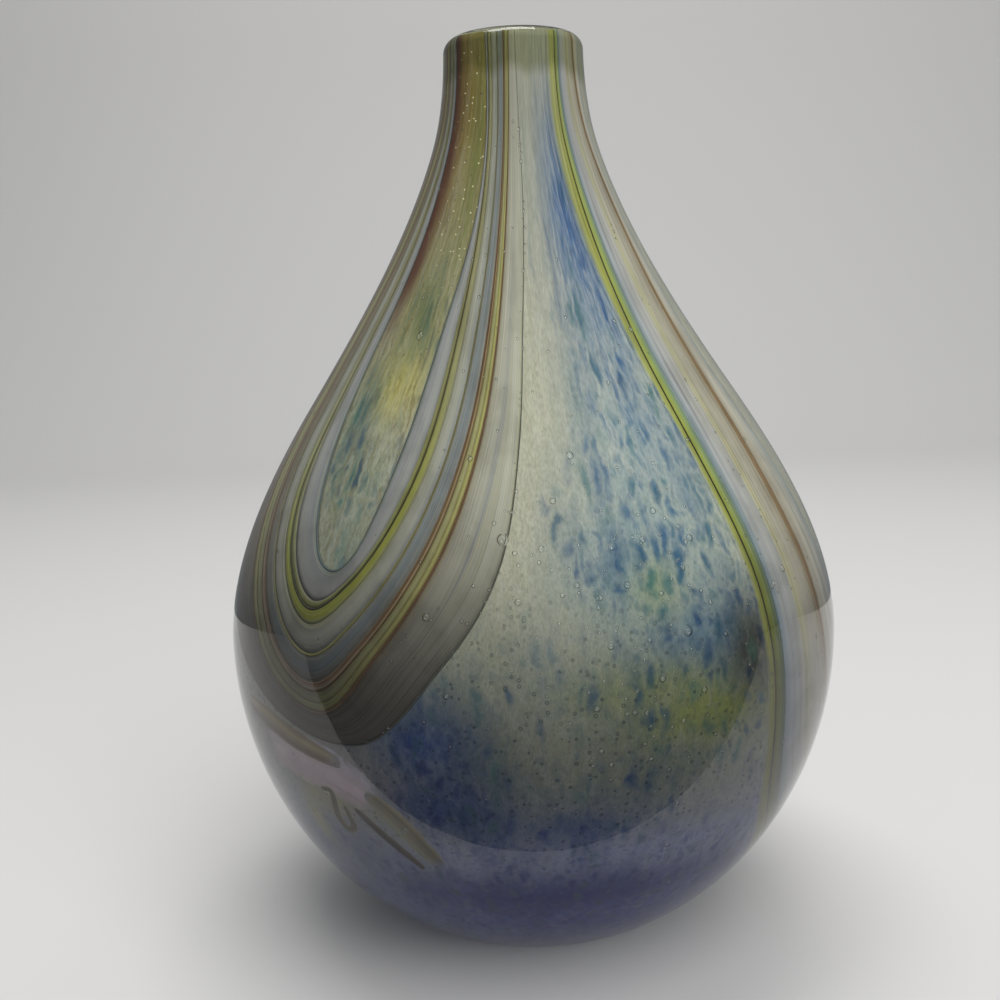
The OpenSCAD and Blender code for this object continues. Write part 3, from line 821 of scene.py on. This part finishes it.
def with_bubbles(points, faces):
    """The casing with its bubbles, which are cavities: their faces look inwards. They stretch up the wall."""
    ball_points, ball_faces = ball()
    clouds = [points]
    extra = []
    start = len(points)
    for angle, z, radius, depth in bubbles():
        deepest = JACKET_D - CANE_T - CLEAR_OF_CANES - radius * FLATTENED
        depth = max(CLEAR_OF_SKIN + radius, min(depth, deepest))
        if z >= BELLY_Z:
            r = float(layer_r(z, depth))
        else:
            r = BELLY_R * math.sqrt(1 - ((BELLY_Z - z) / OUTER_B) ** 2) - depth
        ahead = float(layer_r(z + 0.5, depth) - layer_r(z - 0.5, depth))
        a = math.radians(angle)
        out = np.array([math.sin(a), -math.cos(a), 0])
        side = np.array([math.cos(a), math.sin(a), 0])
        up = np.array([out[0] * ahead, out[1] * ahead, 1.0])
        up /= np.linalg.norm(up)
        normal = np.cross(side, up)
        stretch = 1 + 0.5 * min(1.5, BELLY_R / max(r, 20) - 1)
        local = ball_points * np.array([radius, radius * stretch, radius * FLATTENED])
        clouds.append(out * r + [0, 0, z] + local @ np.array([side, up, normal]))
        extra.extend([[start + i for i in face] for face in ball_faces])
        start += len(ball_points)
    return np.vstack(clouds), faces + extra


points, faces = revolve(casing_outline(), 288)
points, faces = with_bubbles(points, faces)
glass_piece("clear_casing", points, faces, clear_look(), {})

points, faces = shell(JACKET_D, CORE_D, COLOUR_TOP, 360)
glass_piece("frit_jacket", points, faces, frit_look("frit_glass"), paint(points))

points, faces = shell(CORE_D, WALL, CORE_TOP, 192)
glass_piece("opal_core", points, faces, opal_look(), {})


# -------------------- canes, bands and bits

def even(*colours):
    """Colour stops, evenly spaced."""
    return [(i / max(1, len(colours) - 1), tone(*c)) for i, c in enumerate(colours)]


DULL = tone(116, 114, 78)
# A strip's loops, how many loops out from the leaf its two edges are, its colours across, and its looks
SWIRLS = {
    "leaf_rim": (LEFT_LOOPS, 0, 0.06, even((78, 92, 92), (66, 78, 78)), {}),
    "lilac_band": (LEFT_LOOPS, 0.06, 0.8,
        even((118, 124, 118), (130, 131, 132), (138, 139, 136), (126, 127, 120)),
        {"lines": 12.0, "contrast": 0.7, "low_shade": 0.9}),
    "lime_cane_inner": (LEFT_LOOPS, 0.8, 0.96, even((124, 124, 104), (116, 118, 66), (104, 106, 44)),
        {"lines": 5.0, "fade": DULL, "low_shade": 0.7}),
    "dark_thread": (LEFT_LOOPS, 0.96, 1.02, even((44, 42, 24), (34, 34, 22)),
        {"lines": 3.0, "fade": tone(66, 60, 36)}),
    "lime_cane_outer": (LEFT_LOOPS, 1.02, 1.2, even((120, 124, 48), (130, 134, 56), (128, 128, 84)),
        {"lines": 4.0, "fade": tone(128, 126, 92), "low_shade": 0.75}),
    "pearl_band": (LEFT_LOOPS, 1.2, 1.57, even((126, 126, 106), (144, 145, 134), (128, 130, 120)),
        {"lines": 14.0, "contrast": 1.0, "low_shade": 0.7}),
    "olive_thread": (LEFT_LOOPS, 1.57, 1.61, even((104, 100, 56), (96, 90, 50)), {"lines": 3.0}),
    "slate_band": (LEFT_LOOPS, 1.61, 1.94, even((124, 126, 118), (104, 112, 116), (118, 114, 98)),
        {"lines": 14.0, "contrast": 1.0, "low_shade": 0.75, "left": tone(108, 96, 70)}),
    "red_cane": (LEFT_LOOPS, 1.94, 2.2,
        [(0.0, tone(112, 92, 66)), (0.2, tone(76, 42, 32)), (0.38, tone(132, 116, 82)),
        (0.62, tone(126, 112, 76)), (0.78, tone(76, 42, 32)), (1.0, tone(108, 84, 56))],
        {"lines": 7.0, "low_shade": 0.5}),
    "straw_band": (LEFT_LOOPS, 2.2, 2.62, even((112, 108, 68), (144, 143, 98), (126, 123, 84)),
        {"lines": 9.0, "contrast": 1.0, "low_shade": 0.75}),
    "tan_cane": (LEFT_LOOPS, 2.62, 2.93, even((134, 131, 74), (154, 152, 92), (118, 104, 62)),
        {"lines": 8.0, "low_shade": 0.75}),
    "brown_thread": (LEFT_LOOPS, 2.93, 3.03, even((80, 48, 32), (96, 74, 52)), {"lines": 3.0, "low_shade": 0.3}),
    "smoke_band": (LEFT_LOOPS, 3.03, 3.97,
        even((132, 126, 108), (152, 151, 137), (147, 146, 132), (160, 159, 144), (146, 147, 132)),
        {"lines": 26.0, "contrast": 1.2, "low_shade": 1.0, "left": tone(106, 84, 50)}),
    "edge_thread": (LEFT_LOOPS, 3.97, 4, even((66, 70, 64), (60, 64, 60)), {"lines": 3.0}),
    "right_lime_cane": (RIGHT_LOOPS, 2.02, 3, even((132, 135, 58), (144, 147, 78), (140, 143, 92)),
        {"soft_high": 0.6, "lines": 6.0, "low_shade": 0.4}),
    "right_black_thread": (RIGHT_LOOPS, 1.98, 2.02, even((30, 30, 18), (34, 36, 22)), {"lines": 3.0}),
    "right_green_cane": (RIGHT_LOOPS, 1.84, 1.98, even((92, 116, 112), (124, 138, 82), (144, 150, 66)),
        {"lines": 4.0, "low_shade": 0.7}),
    "right_grey_band": (RIGHT_LOOPS, 1.07, 1.84,
        [(0.0, tone(134, 126, 106)), (0.3, tone(156, 152, 138)), (0.5, tone(158, 154, 116)),
        (0.58, tone(152, 150, 142)), (0.85, tone(146, 148, 150)), (1.0, tone(112, 128, 132))],
        {"lines": 18.0, "contrast": 1.1}),
    "amber_cane": (RIGHT_LOOPS, 0.93, 1.07, even((132, 112, 74), (98, 68, 40), (128, 110, 72)),
        {"lines": 4.0}),
    "right_pale_band": (RIGHT_LOOPS, 0, 0.93,
        even((124, 136, 136), (156, 154, 144), (168, 164, 148), (144, 137, 120)),
        {"lines": 16.0, "contrast": 1.0}),
    "back_green_cane": (BACK_LOOPS, 1.03, 2, even((130, 138, 54), (132, 136, 70), (138, 136, 110)),
        {"soft_high": 0.5, "lines": 6.0}),
    "back_black_thread": (BACK_LOOPS, 0.99, 1.03, even((30, 30, 18), (34, 36, 22)), {"lines": 3.0}),
    "back_grey_band": (BACK_LOOPS, 0, 0.99,
        even((112, 122, 124), (140, 140, 138), (120, 104, 84), (144, 140, 112), (134, 132, 130)),
        {"lines": 20.0, "contrast": 1.1}),
}
ROWS = 300              # along a strip
COARSE_ROWS = 60
LEAF_ROWS = 160
LEAF_COLUMNS = 20
BIT_ROWS = 60
BIT_COLUMNS = 13
COLUMN = 1.5            # about how wide a strip's columns are where it is widest
FEWEST_COLUMNS = 4
MOST_COLUMNS = 26


def columns(grid):
    """Enough columns for a strip, judged from a coarse grid that is two wide."""
    ends = in_wall(grid, np.full((len(grid), 2), JACKET_D))
    width = np.linalg.norm(ends[:, 1] - ends[:, 0], axis=1).max()
    return int(np.clip(np.ceil(width / COLUMN), FEWEST_COLUMNS, MOST_COLUMNS)) + 1


for node, (loops, k0, k1, stops, settings) in SWIRLS.items():
    cols = columns(swirl_grid(loops, k0, k1, COARSE_ROWS, 2))
    grid = swirl_grid(loops, k0, k1, ROWS, cols)
    points, faces = slab(grid, BAND_CROWN if node.endswith("band") else CANE_T / 2)
    values = {"strip": strip_place(grid)}
    if "soft_high" in settings:
        values.update(paint(points))
    glass_piece(node, points, faces, cane_look(node, stops, **settings), values)

# The gold leaf's own patches, laid out as PATCHES is
GOLD_PATCHES = [
    (-38, 245, 60, 50, 1.0, tone(134, 122, 62), tone(98, 84, 46), 0.15),
    (-47, 226, 6, 40, 0.85, tone(112, 88, 50), tone(86, 62, 38), 0.15),
    (-27, 222, 6, 34, 0.8, tone(108, 114, 64), tone(84, 94, 54), 0.2),
    (-36, 180, 14, 20, 0.9, tone(126, 126, 78), tone(70, 90, 64), 0.9),
    (-37, 163, 9, 9, 0.9, tone(174, 166, 98), tone(136, 136, 72), 0.45),
    (-46, 158, 5, 12, 0.85, tone(98, 114, 98), tone(34, 60, 76), 0.95),
    (-40, 141, 12, 13, 0.95, tone(134, 143, 122), tone(44, 72, 84), 0.9),
    (-36, 124, 10, 8, 0.7, tone(108, 119, 107), tone(74, 96, 90), 0.8),
]
# The loop round a leaf, its patches, and its looks
MAROON = tone(78, 46, 36)
LEAVES = {
    "frit_leaf": (LEFT_LOOPS[0], GOLD_PATCHES,
        {"edge": MAROON, "streak_tone": tone(98, 84, 46), "streaks": 0.8, "seed_glints": 0.9}),
    "right_leaf": (RIGHT_LOOPS[0], PATCHES, {}),
    "back_leaf": (BACK_LOOPS[0], PATCHES, {}),
}
for node, (loop, patches, settings) in LEAVES.items():
    grid = leaf_grid(loop, LEAF_ROWS, LEAF_COLUMNS)[:, ::-1]
    points, faces = slab(grid, BAND_CROWN)
    values = {"strip": strip_place(grid), **paint(points, patches)}
    glass_piece(node, points, faces, frit_look(node, **settings), values)

# A bit's path, its width, how far its edges stand clear of the jacket, its colours across, and its looks.
# Where the edges are sunk, which is below 0, the bit melts into the frit, and less of its width shows.
BITS = {
    "pink_patch": ([[-57, 69.5], [-46, 69.5], [-37, 67], [-29, 61.5]], 21, -0.1,
        even((168, 164, 132), (186, 168, 170), (206, 184, 188), (184, 174, 180), (150, 150, 160)),
        {"soft_low": 0.25, "soft_high": 0.25, "lines": 5.0, "contrast": 0.5}),
    "brown_stick": ([[-34.6, 58.5], [-23.6, 42.5]], 2.8, 0.06,
        even((54, 38, 34), (34, 20, 20), (54, 40, 34)), {"lines": 4.0}),
    "olive_hook": ([[-42, 62], [-39.4, 61.5], [-40, 54], [-38.4, 50.8], [-36.6, 53], [-37.2, 58.5]],
        2.2, 0.06,
        even((96, 88, 50), (58, 46, 28), (100, 90, 50)), {"lines": 3.0}),
    "ochre_smear": ([[-64, 79], [-55, 77], [-46, 74], [-35, 71]], 8.5, -0.07,
        even((146, 134, 98), (96, 74, 56), (150, 134, 92), (98, 80, 60)),
        {"soft_low": 0.12, "soft_high": 0.12, "contrast": 1.1, "lines": 5.0}),
    "straw_bit": ([[-31, 64], [-25.5, 56.5], [-19, 43.5]], 7.5, -0.07,
        even((142, 140, 116), (134, 130, 104), (100, 88, 64), (136, 134, 114)),
        {"soft_low": 0.12, "soft_high": 0.12, "lines": 4.0}),
}
for node, (path, width, lift, stops, settings) in BITS.items():
    grid = bit_grid(path, width, BIT_ROWS, BIT_COLUMNS)
    points, faces = slab(grid, CANE_T / 2, lift)
    values = {"strip": strip_place(grid), **paint(points)}
    glass_piece(node, points, faces, cane_look(node, stops, **settings), values)


# -------------------- floor, backdrop and light

# All of this part is in metres
HALF_WIDTH = 2.2
FLOOR_FRONT = -1.6
MIRROR_FRONT = -0.105       # the floor between here
MIRROR_BACK = 0.4           # and here is the only part of the floor that the glass mirrors
BEND_FROM = 1.0             # the floor curves up from here
BEND_R = 0.6
BACKDROP_TOP = 2.4


def sweep(name, profile, material, mirrored):
    """A part of the floor or backdrop, drawn out sideways from its profile of (y, z) points."""
    points = [(x, y, z) for y, z in profile for x in (-HALF_WIDTH, HALF_WIDTH)]
    faces = [(2 * i, 2 * i + 1, 2 * i + 3, 2 * i + 2) for i in range(len(profile) - 1)]
    mesh = bpy.data.meshes.new(name)
    mesh.from_pydata(points, [], faces)
    mesh.polygons.foreach_set("use_smooth", [True] * len(faces))
    mesh.materials.append(material)
    part = bpy.data.objects.new(name, mesh)
    part.visible_glossy = mirrored
    scene.collection.objects.link(part)


def bend():
    """Profile of the curve between the floor and the backdrop."""
    turns = np.linspace(0, math.pi / 2, 16)
    return [(BEND_FROM + BEND_R * math.sin(a), BEND_R - BEND_R * math.cos(a)) for a in turns]


def pale_floor():
    """A plain pale floor that curves up into a backdrop. The glass mirrors the floor beside the vase only."""
    material = bpy.data.materials.new("pale_floor")
    material.use_nodes = True
    shader = material.node_tree.nodes["Principled BSDF"]
    shader.inputs["Base Color"].default_value = (0.62, 0.61, 0.6, 1)
    shader.inputs["Roughness"].default_value = 0.9
    sweep("floor_front", [(FLOOR_FRONT, 0.0), (MIRROR_FRONT, 0.0)], material, False)
    sweep("floor_middle", [(MIRROR_FRONT, 0.0), (MIRROR_BACK, 0.0)], material, True)
    backdrop = [(MIRROR_BACK, 0.0)] + bend() + [(BEND_FROM + BEND_R, BACKDROP_TOP)]
    sweep("backdrop", backdrop, material, False)


def softbox(name, place, target, width, height, watts, glossy=True):
    """A soft light at a place, turned to its target. The glass mirrors it only if it is glossy."""
    light = bpy.data.lights.new(name, "AREA")
    light.shape = "RECTANGLE"
    light.size = width
    light.size_y = height
    light.energy = watts
    lamp = bpy.data.objects.new(name, light)
    lamp.location = place
    lamp.visible_glossy = glossy
    lamp.rotation_euler = (Vector(target) - Vector(place)).to_track_quat("-Z", "Y").to_euler()
    scene.collection.objects.link(lamp)


pale_floor()
MIDDLE = (0, 0, 0.12)       # of the vase
softbox("overhead", (-0.05, 0.14, 1.5), MIDDLE, width=0.9, height=0.5, watts=8)
softbox("high_front", (0.4, -0.75, 1.35), MIDDLE, width=1.1, height=1.1, watts=15, glossy=False)
softbox("front", (0.5, -1.3, 0.5), MIDDLE, width=1.2, height=1.2, watts=4, glossy=False)
softbox("backdrop_light", (0.0, 0.5, 1.6), (0, 1.2, 0.2), width=1.8, height=0.6, watts=9, glossy=False)
world = bpy.data.worlds.new("studio")
world.use_nodes = True
world.node_tree.nodes["Background"].inputs["Color"].default_value = (0.9, 0.95, 1.0, 1)
world.node_tree.nodes["Background"].inputs["Strength"].default_value = 0.2
scene.world = world
scene.view_settings.view_transform = "Standard"
